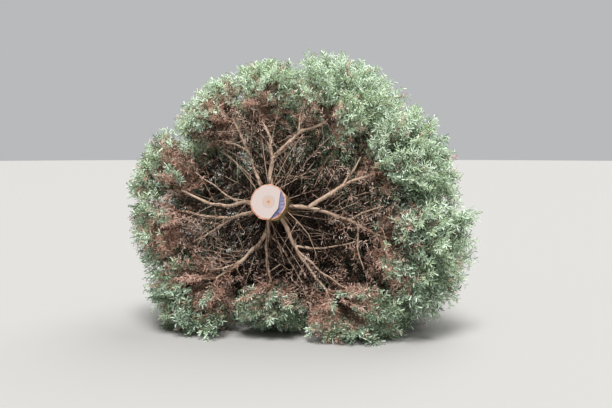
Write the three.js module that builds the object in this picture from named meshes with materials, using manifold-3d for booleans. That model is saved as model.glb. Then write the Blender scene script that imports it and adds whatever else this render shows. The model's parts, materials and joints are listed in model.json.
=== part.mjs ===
// A fir felled for Christmas. It lies on its side on level ground, cut end towards -Y, tip towards +Y, +Z
// up. Sizes are millimetres and angles are degrees. The origin is on the ground, under the middle of the
// tree.
import * as THREE from "three";
import { mergeVertices } from "three/addons/utils/BufferGeometryUtils.js";
import Module from "manifold-3d";

const wasm = await Module();
wasm.setup();

// Trunk
const TREE_LENGTH = 2400;
const CUT_CENTRE = new THREE.Vector3(-70, -1166, 600);
const TRUNK_SLOPE = 12;
const CUT_RADIUS = 75;
const TIP_RADIUS = 5;
const BUTT_FLARE = 4;
const FLARE_LENGTH = 70;
const TRUNK_SIDES = 14;
const TRUNK_RINGS = [0, 45, 130, 420, 900, 1450, 1950, 2400];
// The felling cut stops short of one edge, where the first cut lies deeper.
const STEP_FROM_CENTRE = 37;
const STEP_TURN = -18.6;
const STEP_DEPTH = 7;
const STEP_TILT = 9;

// Crown
const WIDEST_AT = 400;
const FRONT_ROUNDING = 580;
const CROWN_TAPER = 1.25;
const CROWN_RADIUS = 780;
const BULGE = 0.08;
const BULGE_TURN = 340;
const LEADER_BARE = 25;
const CROWN_FRONT = 60;
const NOTCH = 0.07;
const NOTCH_TURN = 26;
const EVEN_JITTER = 0.12;
const REACH_JITTER = 0.03;
const OUTLINE_ROUNDS = 4;

// Whorls of boughs, from the cut to the tip. Each has a distance along the trunk, and either its own
// boughs or a number of even ones. The last five carry their foliage straight on the trunk. A low bough has
// its turns at the root, at two bends and at the end, the length of its bare part and the reach of its
// foliage. Three of them fork off another low bough, at a share of its length.
const LOW_BOUGHS = [
  { turns: [2, 12, 20, 20], bare: 440, reach: 835, forkOf: 9, forkAt: 0.36 },
  { turns: [98, 86, 75, 62], bare: 430, reach: 810, forkOf: 2, forkAt: 0.5 },
  { turns: [106, 99, 97, 103], bare: 450, reach: 740 },
  { turns: [132, 127, 119, 119], bare: 430, reach: 733 },
  { turns: [161, 173, 179, 171], bare: 440, reach: 767 },
  { turns: [198, 196, 189, 183], bare: 430, reach: 748 },
  { turns: [256, 248, 238, 231], bare: 400, reach: 785, forkOf: 7, forkAt: 0.34 },
  { turns: [252, 258, 263, 268], bare: 330, reach: 568 },
  { turns: [306, 300, 301, 303], bare: 420, reach: 818 },
  { turns: [0, 359, 354, 346], bare: 450, reach: 900 },
];
const WHORLS = [
  { at: 118, slope: 0.22, boughs: LOW_BOUGHS },
  { at: 400, slope: 0.34, count: 6, firstTurn: 38, bare: 0.46 },
  { at: 680, slope: 0.4, count: 5, firstTurn: 20, bare: 0.42 },
  { at: 960, slope: 0.44, count: 4, firstTurn: 62 },
  { at: 1240, slope: 0.48, count: 4, firstTurn: 18 },
  { at: 1510, slope: 0.52, count: 3, firstTurn: 80 },
  { at: 1780, slope: 0.56, count: 3, firstTurn: 25 },
  { at: 1990, slope: 0, count: 2, firstTurn: 90 },
];

// Limbs
const BOUGH_RADIUS = 9.5;
const BOUGH_END_RADIUS = 5;
const BOUGH_SIDES = 5;
const BOUGH_STEPS = 4;
const BOUGH_WAVE = 14;
const BOUGH_TURN_WAVE = 2;
const BOUGH_BENDS = [0.3, 0.65];
const WHORL_SPREAD = 22;
const BOUGH_END_DEPTH = 0.42;
const SHORT_STEM_RADIUS = 0.17;
const STEM_SIDES = 4;
const STEM_SUNK = 3;
const STEM_END_RADIUS = 4.2;
const STEM_END_SHARE = 0.45;
const FIRST_TWIG = 0.08;
const LAST_TWIG = 0.97;
const TWIG_RADIUS = 3;
const TWIG_TAPER = 0.7;

// Sprays of needles
const COLUMN_WIDTH = 192;
const ROW_DEPTH = 150;
const FEWEST_COLUMNS = 3;
const FEWEST_ROWS = 2;
const ROW_STAGGER = 0.22;
const COLUMN_JITTER = 0.12;
const ROW_JITTER = 0.15;
const SPRAY_LONGEST = 310;
const SPRAY_SHARE = 0.7;
const SPRAY_THICKNESS = 0.04;
const SPRAY_DROOP = 0.08;
const SPRAY_ROLL = 26;
const SPRAY_SIZES = [1, 0.88, 0.76, 0.64, 0.52, 0.4];
const SPRAY_CENTRE = 0.5;
const SPRAY_SHOULDER = 0.05;
// One side of a spray's toothed outline, root to tip, as shares of its length: along it, and out from its
// middle.
const SPRAY_TEETH = [
  [0.28, 0.33],
  [0.42, 0.17],
  [0.62, 0.33],
  [0.74, 0.14],
];

// Gaps
const GAP = 0.35;
const BOUGH_GAP = 0.45;
const CELL_MARGIN = 4;
const TIP_SLACK = 2;
const TRUNK_CLEARANCE = 6;
const GROUND_CLEARANCE = 0.2;
const GROUND_PRESS = 45;

const barkMaterial = new THREE.MeshStandardMaterial({ color: 0x7b5f42, roughness: 0.9, metalness: 0 });
const boughMaterial = new THREE.MeshStandardMaterial({ color: 0x887262, roughness: 0.85, metalness: 0 });
const foliageMaterial = new THREE.MeshStandardMaterial({ color: 0x96a48c, roughness: 0.7, metalness: 0 });

// The tree's own directions: along the trunk, to its right side and to its upper side.
const slope = THREE.MathUtils.degToRad(TRUNK_SLOPE);
const ALONG = new THREE.Vector3(0, Math.cos(slope), -Math.sin(slope));
const RIGHT = new THREE.Vector3(1, 0, 0);
const UPPER = new THREE.Vector3(0, Math.sin(slope), Math.cos(slope));

// The direction straight out of the trunk at a turn, counted from the right side towards the upper side.
function outward(turn) {
  const angle = THREE.MathUtils.degToRad(turn);
  return RIGHT.clone().multiplyScalar(Math.cos(angle)).addScaledVector(UPPER, Math.sin(angle));
}

// The point at a distance along the trunk, a distance out from its axis and a turn about it.
function place(along, out, turn) {
  return CUT_CENTRE.clone().addScaledVector(ALONG, along).addScaledVector(outward(turn), out);
}

// The same three numbers of a point.
function placeOf(point) {
  const from = point.clone().sub(CUT_CENTRE);
  const right = from.dot(RIGHT);
  const upper = from.dot(UPPER);
  const turn = THREE.MathUtils.radToDeg(Math.atan2(upper, right));
  return { along: from.dot(ALONG), out: Math.hypot(right, upper), turn };
}

// A number from 0 to 1, always the same for the same whorl, mass, item and use.
function chance(whorl, mass, item, use) {
  const seed = whorl * 131.7 + mass * 17.31 + item * 3.77 + use * 0.613 + 1;
  const wave = Math.sin(seed * 12.9898) * 43758.5453;
  return wave - Math.floor(wave);
}

// A number from -1 to 1 by the same rule.
function sway(whorl, mass, item, use) {
  return 2 * chance(whorl, mass, item, use) - 1;
}

function trunkRadius(along) {
  const share = 1 - along / TREE_LENGTH;
  const flare = BUTT_FLARE * Math.exp(-along / FLARE_LENGTH);
  return TIP_RADIUS + (CUT_RADIUS - TIP_RADIUS - BUTT_FLARE) * share + flare;
}

// The crown's outline along the trunk, as a share of its widest: rounded in front, a long taper behind.
function crownShare(along) {
  if (along < WIDEST_AT) {
    const front = (WIDEST_AT - along) / FRONT_ROUNDING;
    return Math.sqrt(Math.max(0, 1 - front * front));
  }
  const back = Math.min(1, (along - WIDEST_AT) / (TREE_LENGTH - WIDEST_AT));
  return 1 - Math.pow(back, CROWN_TAPER);
}

// How far the crown reaches at a turn: a little further on its bulging side.
function sideReach(turn) {
  const angle = THREE.MathUtils.degToRad(turn - BULGE_TURN);
  return CROWN_RADIUS * (1 + BULGE * Math.cos(angle));
}

// The smallest angle from one turn to another, between -180 and 180.
function turnFrom(start, end) {
  return ((((end - start) % 360) + 540) % 360) - 180;
}

// Solids

function insideVolume(positions, corners) {
  const [a, b, c] = [new THREE.Vector3(), new THREE.Vector3(), new THREE.Vector3()];
  let volume = 0;
  for (let i = 0; i < corners.length; i += 3) {
    a.fromBufferAttribute(positions, corners[i]);
    b.fromBufferAttribute(positions, corners[i + 1]);
    c.fromBufferAttribute(positions, corners[i + 2]);
    volume += a.dot(b.cross(c)) / 6;
  }
  return volume;
}

// A closed geometry as a solid: doubles merged, empty triangles dropped, faces turned outwards.
function solidOf(geometry) {
  const bare = geometry.clone();
  bare.deleteAttribute("normal");
  bare.deleteAttribute("uv");
  const merged = mergeVertices(bare, 1e-3);
  const all = merged.index.array;
  const corners = [];
  for (let i = 0; i < all.length; i += 3) {
    const [a, b, c] = [all[i], all[i + 1], all[i + 2]];
    if (a !== b && b !== c && c !== a) corners.push(a, b, c);
  }
  const positions = merged.getAttribute("position");
  if (insideVolume(positions, corners) < 0) corners.reverse();
  return new wasm.Manifold(
    new wasm.Mesh({
      numProp: 3,
      vertProperties: positions.array,
      triVerts: new Uint32Array(corners),
    }),
  );
}

// The largest body of a solid, as a named mesh.
function meshOf(name, solid, material) {
  const bodies = solid.decompose().sort((a, b) => b.volume() - a.volume());
  const { vertProperties, triVerts } = bodies[0].getMesh();
  const geometry = new THREE.BufferGeometry();
  geometry.setAttribute("position", new THREE.BufferAttribute(vertProperties, 3));
  geometry.setIndex(new THREE.BufferAttribute(triVerts, 1));
  geometry.computeVertexNormals();
  const mesh = new THREE.Mesh(geometry, material);
  mesh.name = name;
  return mesh;
}

// A round tapering limb along a curve: a lathe turned straight, one ring for each radius, then bent to the
// curve. Its end may stand out past the curve's.
function limb(curve, radii, sides, longer = 0) {
  const last = radii.length - 1;
  const profile = radii.map((radius, ring) => new THREE.Vector2(radius, ring));
  profile.unshift(new THREE.Vector2(0, 0));
  profile.push(new THREE.Vector2(0, last));
  const geometry = new THREE.LatheGeometry(profile, sides);
  const frames = curve.computeFrenetFrames(last, false);
  const positions = geometry.getAttribute("position");
  for (let i = 0; i < positions.count; i += 1) {
    const ring = Math.round(positions.getY(i));
    const point = curve
      .getPointAt(ring / last)
      .addScaledVector(frames.normals[ring], positions.getX(i))
      .addScaledVector(frames.binormals[ring], positions.getZ(i));
    if (ring === last) point.addScaledVector(frames.tangents[ring], longer);
    positions.setXYZ(i, point.x, point.y, point.z);
  }
  return solidOf(geometry);
}

function radiiBetween(start, end, steps) {
  return Array.from({ length: steps + 1 }, (_, i) => THREE.MathUtils.lerp(start, end, i / steps));
}

// The trunk, with a margin added all round when it is used to cut a limb clear of it.
function trunkSolid(margin) {
  const rings = TRUNK_RINGS.map(
    (along) => new THREE.Vector2(trunkRadius(along) + margin / Math.cos(Math.PI / TRUNK_SIDES), along),
  );
  rings[rings.length - 1].y += margin;
  const profile = [new THREE.Vector2(0, 0), ...rings, new THREE.Vector2(0, TREE_LENGTH + margin)];
  const geometry = new THREE.LatheGeometry(profile, TRUNK_SIDES);
  const frame = new THREE.Matrix4().makeBasis(RIGHT, ALONG, RIGHT.clone().cross(ALONG));
  geometry.applyMatrix4(frame.setPosition(CUT_CENTRE));
  return solidOf(geometry);
}

// The deeper cut at one edge of the trunk's flat end.
function cutStep() {
  const size = 2 * CUT_RADIUS;
  const box = new THREE.BoxGeometry(size, 2 * size, size);
  box.translate(size / 2, 0, -size / 2);
  const side = outward(STEP_TURN);
  const tilt = THREE.MathUtils.degToRad(STEP_TILT);
  const back = ALONG.clone();
  const across = side.clone().applyAxisAngle(back.clone().cross(side).normalize(), -tilt);
  const deep = back.applyAxisAngle(back.clone().cross(side).normalize(), -tilt);
  const edge = place(STEP_DEPTH, STEP_FROM_CENTRE, STEP_TURN);
  const frame = new THREE.Matrix4().makeBasis(across, deep.clone().cross(across), deep);
  box.applyMatrix4(frame.setPosition(edge));
  return solidOf(box);
}

const trunkForCutting = trunkSolid(GAP);

// A point of a spray, in shares of its blade's length: along it from the blade's root, to its side and off
// its face. The blade droops towards its tip and its sides, unless it lies pressed on the ground.
function sprayPoint(spray, u, v, rise) {
  const droop = spray.flat ? 0 : -SPRAY_DROOP * (Math.max(0, u) ** 2 + 2 * v * v);
  return spray.root
    .clone()
    .addScaledVector(spray.forward, u * spray.length)
    .addScaledVector(spray.side, v * spray.length)
    .addScaledVector(spray.face, (droop + rise) * spray.length);
}

// The outline of a spray and its twig: from the stem along the slim twig, round the teeth and back.
function sprayOutline(spray) {
  const base = -spray.twigLength / spray.length;
  const thin = TWIG_RADIUS / spray.length;
  const right = [[base, thin], [SPRAY_SHOULDER, TWIG_TAPER * thin], ...SPRAY_TEETH];
  const left = right.map(([u, v]) => [u, -v]).reverse();
  return [...right, [1, 0], ...left];
}

// The ridge above and below the outline's point i: at the twig's base for its two ends, else at the
// blade's middle.
function sprayRidge(spray, i, count) {
  if (i === 0 || i === count - 1) return [-spray.twigLength / spray.length, TWIG_RADIUS / spray.length];
  return [SPRAY_CENTRE, SPRAY_THICKNESS / 2];
}

// A flat spray of needles on its twig, as one closed toothed blade. It starts as a lathe of three rings:
// the middle one becomes the outline, and the others close up on the ridges.
function spraySolid(spray) {
  const outline = sprayOutline(spray);
  const count = outline.length;
  const profile = [-1, 0, 1].map((y) => new THREE.Vector2(1, y));
  const geometry = new THREE.LatheGeometry(profile, count);
  const positions = geometry.getAttribute("position");
  for (let i = 0; i < positions.count; i += 1) {
    const level = positions.getY(i);
    const corner = Math.floor(i / 3) % count;
    const [ridgeAlong, ridgeRise] = sprayRidge(spray, corner, count);
    const [u, v] = level === 0 ? outline[corner] : [ridgeAlong, 0];
    const point = sprayPoint(spray, u, v, level * ridgeRise);
    positions.setXYZ(i, point.x, point.y, point.z);
  }
  return solidOf(geometry);
}

// Cells: the space of one mass of foliage, between two half planes through the trunk's axis and two cones
// about it

// How far along the trunk the front and the back of a whorl's layer lie, at a distance out.
function layerFront(whorl, out) {
  return whorl === 0 ? CROWN_FRONT : layerBack(whorl - 1, out);
}

function layerBack(whorl, out) {
  if (whorl === WHORLS.length - 1) return TREE_LENGTH - LEADER_BARE;
  const middle = (WHORLS[whorl].at + WHORLS[whorl + 1].at) / 2;
  return middle + WHORLS[whorl].slope * out;
}

function layerPlace(whorl, out, depth) {
  return THREE.MathUtils.lerp(layerFront(whorl, out), layerBack(whorl, out), depth);
}

// The crown's reach in a cell, at a turn and a distance along the trunk, a little less away from its middle.
function cellReach(cell, along, turn) {
  const side = turnFrom(cell.turn, turn) / NOTCH_TURN;
  return cell.reach * crownShare(along) * (1 - NOTCH * Math.min(1, side ** 2));
}

function fitsCell(cell, point) {
  const { along, out, turn } = placeOf(point);
  const side = turnFrom(cell.turn, turn);
  const half = side < 0 ? cell.before : cell.after;
  const toBorder = out * Math.sin(THREE.MathUtils.degToRad(Math.min(90, half - Math.abs(side))));
  return (
    toBorder > CELL_MARGIN &&
    along > layerFront(cell.whorl, out) + CELL_MARGIN &&
    along < layerBack(cell.whorl, out) - CELL_MARGIN &&
    out > trunkRadius(along) + TRUNK_CLEARANCE &&
    out > cell.bareOut &&
    out < cellReach(cell, along, turn) + TIP_SLACK &&
    point.z > 0
  );
}

function evenBoughs(whorl) {
  const { count, firstTurn, bare } = WHORLS[whorl];
  return Array.from({ length: count }, (_, i) => {
    const turn = firstTurn + (360 / count) * (i + EVEN_JITTER * sway(whorl, i, 0, 1));
    const reach = sideReach(turn) * (1 + REACH_JITTER * sway(whorl, i, 0, 2));
    const widest = crownShare(layerPlace(whorl, reach / 2, BOUGH_END_DEPTH)) * reach;
    return { turns: [turn, turn, turn, turn], bare: bare ? bare * widest : 0, reach };
  });
}

// Every cell of the crown, whorl by whorl. A side border lies half way to the next bough's end.
function crownCells() {
  return WHORLS.flatMap((settings, whorl) => {
    const boughs = settings.boughs ?? evenBoughs(whorl);
    const ends = boughs.map(({ turns }) => turns[3]);
    return boughs.map(({ turns, bare, reach, forkOf, forkAt }, index) => {
      const turn = ends[index];
      const after = Math.abs(turnFrom(turn, ends[(index + 1) % ends.length])) / 2;
      const before = Math.abs(turnFrom(turn, ends[(index + ends.length - 1) % ends.length])) / 2;
      return { whorl, index, turns, turn, bareOut: bare, reach, after, before, forkOf, forkAt };
    });
  });
}

// Where a bough's bare part ends: its foliage's stem begins there.
function boughEnd(cell) {
  return place(layerPlace(cell.whorl, cell.bareOut, BOUGH_END_DEPTH), cell.bareOut, cell.turn);
}

// Where a bough starts: on the trunk's axis, or on the middle line of the bough that it forks from.
function boughRoot(cell) {
  if (cell.forkOf !== undefined) return boughCurve(cells[cell.forkOf]).getPointAt(cell.forkAt);
  const along = WHORLS[cell.whorl].at + WHORL_SPREAD * sway(cell.whorl, cell.index, 0, 3);
  return place(along, 0, cell.turns[0]);
}

// A bough's middle line, with a gentle wave in it.
function boughCurve(cell) {
  const { whorl, index } = cell;
  const points = [boughRoot(cell), boughEnd(cell)];
  const [root, end] = points.map(placeOf);
  const bends = BOUGH_BENDS.map((share, bend) => {
    const along = THREE.MathUtils.lerp(root.along, end.along, share);
    const out = THREE.MathUtils.lerp(root.out, end.out, share);
    const turn = cell.turns[bend + 1] + BOUGH_TURN_WAVE * sway(whorl, index, bend, 5);
    return place(along + BOUGH_WAVE * sway(whorl, index, bend, 4), out, turn);
  });
  return new THREE.CatmullRomCurve3([points[0], ...bends, points[1]]);
}

// A bough: one tapering limb from inside the trunk or another bough, with a margin when it cuts other wood.
function boughSolid(cell, margin) {
  const radii = radiiBetween(BOUGH_RADIUS + margin, BOUGH_END_RADIUS + margin, BOUGH_STEPS);
  return limb(boughCurve(cell), radii, BOUGH_SIDES, margin);
}

function boughMesh(cell) {
  let solid = boughSolid(cell, 0).subtract(trunkForCutting);
  if (cell.forkOf !== undefined) solid = solid.subtract(boughSolid(cells[cell.forkOf], BOUGH_GAP));
  return meshOf(`bough_${cell.whorl + 1}_${cell.index + 1}`, solid, boughMaterial);
}

// The stem of a mass runs out along the middle of its cell, from its bough's end or from the trunk.
function stemOf(cell) {
  const reach = cellReach(cell, layerPlace(cell.whorl, cell.reach / 2, 0.5), cell.turn);
  const endOut = THREE.MathUtils.lerp(cell.bareOut, groundedOut(cell, reach), STEM_END_SHARE);
  const end = place(layerPlace(cell.whorl, endOut, 0.5), endOut, cell.turn);
  if (cell.bareOut === 0) {
    const { at } = WHORLS[cell.whorl];
    return { start: place(at, 0, cell.turn), end, radius: SHORT_STEM_RADIUS * trunkRadius(at) };
  }
  const start = boughEnd(cell);
  const forward = end.clone().sub(start).normalize();
  return { start: start.addScaledVector(forward, -STEM_SUNK), end, radius: BOUGH_END_RADIUS - 0.5 };
}

// A distance out at a cell's middle, cut short where the ground is nearer.
function groundedOut(cell, out) {
  const along = layerPlace(cell.whorl, out, 0.5);
  const height = CUT_CENTRE.z + ALONG.z * along;
  const fall = -outward(cell.turn).z;
  return fall > 0 ? Math.min(out, (height - GROUND_PRESS) / fall) : out;
}

// The tip of a spray on the crown's outline. The outline and the layer depend on each other, so a few
// rounds settle it.
function sprayTip(cell, turn, depth) {
  let out = cell.reach;
  for (let round = 0; round < OUTLINE_ROUNDS; round += 1) {
    out = cellReach(cell, layerPlace(cell.whorl, out, depth), turn);
  }
  return place(layerPlace(cell.whorl, out, depth), out, turn);
}

function pressToGround(point) {
  const pressed = point.clone();
  pressed.z = Math.max(pressed.z, GROUND_CLEARANCE);
  return pressed;
}

// A spray at the end of a straight twig from its base on the stem, made smaller until it keeps to its cell.
function fitSpray(cell, base, tip, item) {
  const lies = tip.z < GROUND_PRESS;
  const target = pressToGround(tip);
  const span = base.distanceTo(target);
  const forward = target.clone().sub(base).normalize();
  const longest = Math.min(SPRAY_LONGEST, SPRAY_SHARE * span);
  const back = lies ? new THREE.Vector3(0, 0, 1) : outward(placeOf(base).turn).add(ALONG);
  const roll = lies ? 0 : SPRAY_ROLL * sway(cell.whorl, cell.index, item, 6);
  const side = forward.clone().cross(back).normalize();
  side.applyAxisAngle(forward, THREE.MathUtils.degToRad(roll));
  const face = side.clone().cross(forward);
  const twigLength = span - longest;
  const root = base.clone().addScaledVector(forward, twigLength);
  for (const size of SPRAY_SIZES) {
    const spray = { root, forward, side, face, twigLength, length: longest * size, flat: lies };
    const points = sprayOutline(spray).slice(2, -2).map(([u, v]) => sprayPoint(spray, u, v, 0));
    points.push(sprayPoint(spray, SPRAY_CENTRE, 0, -SPRAY_THICKNESS / 2));
    points.push(sprayPoint(spray, SPRAY_CENTRE, 0, SPRAY_THICKNESS / 2));
    if (points.every((point) => fitsCell(cell, point))) return spray;
  }
  return null;
}

// The base of a spray's twig on the stem, far enough back for the twig to leave it at about 45 degrees.
function twigBase(stem, tip) {
  const axis = stem.end.clone().sub(stem.start);
  const length = axis.length();
  axis.normalize();
  const forward = tip.clone().sub(stem.start).dot(axis);
  const across = tip.distanceTo(stem.start.clone().addScaledVector(axis, forward));
  const at = THREE.MathUtils.clamp(forward - across, FIRST_TWIG * length, LAST_TWIG * length);
  return stem.start.clone().addScaledVector(axis, at);
}

// The sprays of a mass, in even columns over its width and rows over its depth, tips on the crown's
// outline.
function growSprays(cell, stem) {
  const { whorl, index, before, after } = cell;
  const middleOut = placeOf(sprayTip(cell, cell.turn, 0.5)).out;
  const arc = THREE.MathUtils.degToRad(before + after) * middleOut;
  const depthLength = layerBack(whorl, middleOut) - layerFront(whorl, middleOut);
  const columns = Math.max(FEWEST_COLUMNS, Math.round(arc / COLUMN_WIDTH));
  const rows = Math.max(FEWEST_ROWS, Math.round(depthLength / ROW_DEPTH));
  const sprays = [];
  for (let column = 0; column < columns; column += 1) {
    for (let row = 0; row < rows; row += 1) {
      const item = column * 10 + row;
      const stagger = row % 2 === 0 ? ROW_STAGGER : -ROW_STAGGER;
      const share = (column + 0.5 + stagger + COLUMN_JITTER * sway(whorl, index, item, 7)) / columns;
      const turn = cell.turn - before + (before + after) * share;
      const depth = (row + 0.5 + ROW_JITTER * sway(whorl, index, item, 8)) / rows;
      const tip = sprayTip(cell, turn, depth);
      sprays.push(fitSpray(cell, twigBase(stem, tip), tip, item));
    }
  }
  return sprays.filter(Boolean);
}

function foliageMesh(cell) {
  const stem = stemOf(cell);
  let solid = limb(new THREE.LineCurve3(stem.start, stem.end), [stem.radius, STEM_END_RADIUS], STEM_SIDES);
  for (const spray of growSprays(cell, stem)) solid = solid.add(spraySolid(spray));
  solid = solid.subtract(cell.bareOut > 0 ? boughSolid(cell, BOUGH_GAP) : trunkForCutting);
  return meshOf(`foliage_${cell.whorl + 1}_${cell.index + 1}`, solid, foliageMaterial);
}

const cells = crownCells();
const tree = new THREE.Group();
tree.add(meshOf("trunk", trunkSolid(0).subtract(cutStep()), barkMaterial));
for (const cell of cells) {
  if (cell.bareOut > 0) tree.add(boughMesh(cell));
  tree.add(foliageMesh(cell));
}

export default tree;
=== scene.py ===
# A fir felled for Christmas, lying on its side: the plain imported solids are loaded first, and each is then
# replaced by bark, twigs and needles in the same place. Lengths are metres and angles are degrees.
import json
import math
from dataclasses import dataclass

import bmesh
import bpy
import numpy as np
from mathutils import Matrix, Vector, geometry, noise


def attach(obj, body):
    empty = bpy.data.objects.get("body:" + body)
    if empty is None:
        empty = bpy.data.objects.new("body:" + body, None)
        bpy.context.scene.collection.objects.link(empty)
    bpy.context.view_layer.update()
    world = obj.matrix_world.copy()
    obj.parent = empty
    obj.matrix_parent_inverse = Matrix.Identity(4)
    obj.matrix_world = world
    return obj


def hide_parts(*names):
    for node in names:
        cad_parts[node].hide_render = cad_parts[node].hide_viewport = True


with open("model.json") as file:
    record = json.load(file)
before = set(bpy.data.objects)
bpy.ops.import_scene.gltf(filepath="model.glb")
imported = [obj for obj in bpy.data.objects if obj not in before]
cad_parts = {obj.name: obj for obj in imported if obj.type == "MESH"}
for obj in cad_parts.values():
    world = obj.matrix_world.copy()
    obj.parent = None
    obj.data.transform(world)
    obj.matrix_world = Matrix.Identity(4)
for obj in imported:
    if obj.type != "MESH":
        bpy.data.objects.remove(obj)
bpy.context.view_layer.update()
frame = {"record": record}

# Trunk
# A young fir's straight stem, sawn off near the ground: thin mossy bark over pale wood, with a little
# flare at the cut. It is drawn out of a circle ring by ring, and its bark is pushed in and out.
TREE_LENGTH = 2.4
CUT_RADIUS = 0.075
TIP_RADIUS = 0.005
BUTT_FLARE = 0.004
FLARE_LENGTH = 0.07
TRUNK_SIDES = 56
# Ring spacing along the trunk: up to this distance, this far apart.
TRUNK_STEPS = [(0.3, 0.006), (1.0, 0.014), (TREE_LENGTH, 0.05)]
# The bark's lumps and its fine grain: how high, and how close together round and along the trunk.
BARK_RELIEF = ((0.0022, 4, 26), (0.0009, 20, 150))
# The bark is smoother where the trunk is thinner than this.
ROUGH_RADIUS = 0.03

sawn_end = frame["record"]["mounts"][0]
CUT_CENTRE = Vector(sawn_end["pos_m"])
ALONG = -Vector(sawn_end["axis"]).normalized()
RIGHT = Vector((1, 0, 0))
UPPER = RIGHT.cross(ALONG)


def outward(turn):
    """The direction straight out of the trunk, turned from its right side towards its upper side."""
    angle = math.radians(turn)
    return RIGHT * math.cos(angle) + UPPER * math.sin(angle)


def place(along, out, turn):
    """The point at a distance along the trunk, a distance out from its axis and a turn about it."""
    return CUT_CENTRE + ALONG * along + outward(turn) * out


def place_of(point):
    """The same three numbers of a point."""
    start = point - CUT_CENTRE
    right = start.dot(RIGHT)
    upper = start.dot(UPPER)
    return start.dot(ALONG), math.hypot(right, upper), math.degrees(math.atan2(upper, right))


def lerp(start, end, share):
    return start + (end - start) * share


def trunk_radius(along):
    taper = (CUT_RADIUS - TIP_RADIUS - BUTT_FLARE) * (1 - along / TREE_LENGTH)
    return TIP_RADIUS + taper + BUTT_FLARE * math.exp(-along / FLARE_LENGTH)


def bark_relief(along, turn):
    """How far the bark stands out at a place."""
    relief = 0
    for height, around, down in BARK_RELIEF:
        relief += height * noise.noise(outward(turn) * around + ALONG * along * down)
    return relief * min(1, trunk_radius(along) / ROUGH_RADIUS)


def draw_out(bm, edges):
    """The ring of edges drawn out to a new ring: returns its edges and its vertices."""
    made = bmesh.ops.extrude_edge_only(bm, edges=edges)["geom"]
    verts = [part for part in made if isinstance(part, bmesh.types.BMVert)]
    fresh = set(verts)
    ring = [part for part in made if isinstance(part, bmesh.types.BMEdge) and set(part.verts) <= fresh]
    return ring, verts


def finished_mesh(bm, name):
    mesh = bpy.data.meshes.new(name)
    bm.to_mesh(mesh)
    bm.free()
    return mesh


def set_inputs(tree, node, inputs):
    """Each input gets its value, or is linked to the other node's output that is given for it."""
    for name, value in inputs.items():
        if isinstance(value, bpy.types.NodeSocket):
            tree.links.new(value, node.inputs[name])
        else:
            node.inputs[name].default_value = value


def add_node(tree, kind, output, inputs, **settings):
    """A new node with these inputs and settings: returns the output that is asked for."""
    node = tree.nodes.new("ShaderNode" + kind)
    for name, value in settings.items():
        setattr(node, name, value)
    set_inputs(tree, node, inputs)
    return node.outputs[output]


def srgb(*colour):
    """A colour given as a screen shows it, 0 to 255, as the shader wants it."""
    return tuple((part / 255) ** 2.2 for part in colour)


SHEEN = 0.3


def new_material(name, colour, roughness):
    made = bpy.data.materials.new(name)
    made.use_nodes = True
    inputs = {"Base Color": (*colour, 1), "Roughness": roughness, "Specular IOR Level": SHEEN}
    set_inputs(made.node_tree, made.node_tree.nodes["Principled BSDF"], inputs)
    return made


def ramp(tree, source, stops):
    """Colours by a value from 0 to 1, given as rows of a place and a screen colour, put on the material."""
    colours = add_node(tree, "ValToRGB", "Color", {"Fac": source})
    elements = colours.node.color_ramp.elements
    for at, *_ in stops[1:-1]:
        elements.new(at)
    for element, (at, *colour) in zip(elements, stops):
        element.position = at
        element.color = (*srgb(*colour), 1)
    set_inputs(tree, tree.nodes["Principled BSDF"], {"Base Color": colours})


PATCH_NOISE = {"Detail": 6, "Roughness": 0.65}
FINE_NOISE = {"Detail": 4}
FINER_BY = 7


def patches(material, stops, scale, relief):
    """Soft patches of colour, and a fine roughness of this height, in the piece's own coordinates."""
    tree = material.node_tree
    where = add_node(tree, "TexCoord", "Object", {})
    ramp(tree, add_node(tree, "TexNoise", "Fac", {"Vector": where, "Scale": scale, **PATCH_NOISE}), stops)
    fine = add_node(tree, "TexNoise", "Fac", {"Vector": where, "Scale": scale * FINER_BY, **FINE_NOISE})
    bump = add_node(tree, "Bump", "Normal", {"Height": fine, "Distance": relief})
    set_inputs(tree, tree.nodes["Principled BSDF"], {"Normal": bump})


def add_object(name, data):
    made = bpy.data.objects.new(name, data)
    bpy.context.scene.collection.objects.link(made)
    return made


def add_piece(name, mesh, materials, stands_for):
    """A finished mesh as a piece of the tree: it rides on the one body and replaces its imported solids."""
    piece = add_object(name, mesh)
    for material in materials:
        mesh.materials.append(material)
    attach(piece, "root")
    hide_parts(*stands_for)


def trunk_rings():
    rings = [0.0]
    for end, step in TRUNK_STEPS:
        count = round((end - rings[-1]) / step)
        rings += [lerp(rings[-1], end, (i + 1) / count) for i in range(count)]
    return rings


# Rings of the cut face in shares of its radius. The cut edge of the bark lies outside the first.
CUT_RINGS = (0.925, 0.8, 0.6, 0.4, 0.2)
RIND_LUMP = 0.03
RIND_LUMPS_ROUND = 4
BARK_SLOT = 0
RIND_SLOT = 1
WOOD_SLOT = 2
SHADED_STEP_SLOT = 3
# The saw left a step across the cut face: beyond either of two chords, each given by its turn and its
# distance from the middle, the wood lies deeper, and slopes away.
STEP_EDGES = ((-6, 0.0466), (-36, 0.0505))
STEP_WALL = 0.001
STEP_DEPTH = 0.007
STEP_SLOPE = 9
STEP_FADE = 0.03

bm = bmesh.new()
bmesh.ops.create_circle(bm, segments=TRUNK_SIDES, radius=1)
first_edges = bm.edges[:]
ring, verts = first_edges, bm.verts[:]


def flat_way(turn):
    """The direction of a turn in the plane of the cut, before the trunk is put in its place."""
    return Vector((math.cos(math.radians(turn)), math.sin(math.radians(turn)), 0))


def turn_of(vert):
    return math.degrees(math.atan2(vert.co.y, vert.co.x))


def set_ring(verts, along):
    for vert in verts:
        turn = turn_of(vert)
        vert.co = flat_way(turn) * (trunk_radius(along) + bark_relief(along, turn))
        vert.co.z = along


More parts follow.
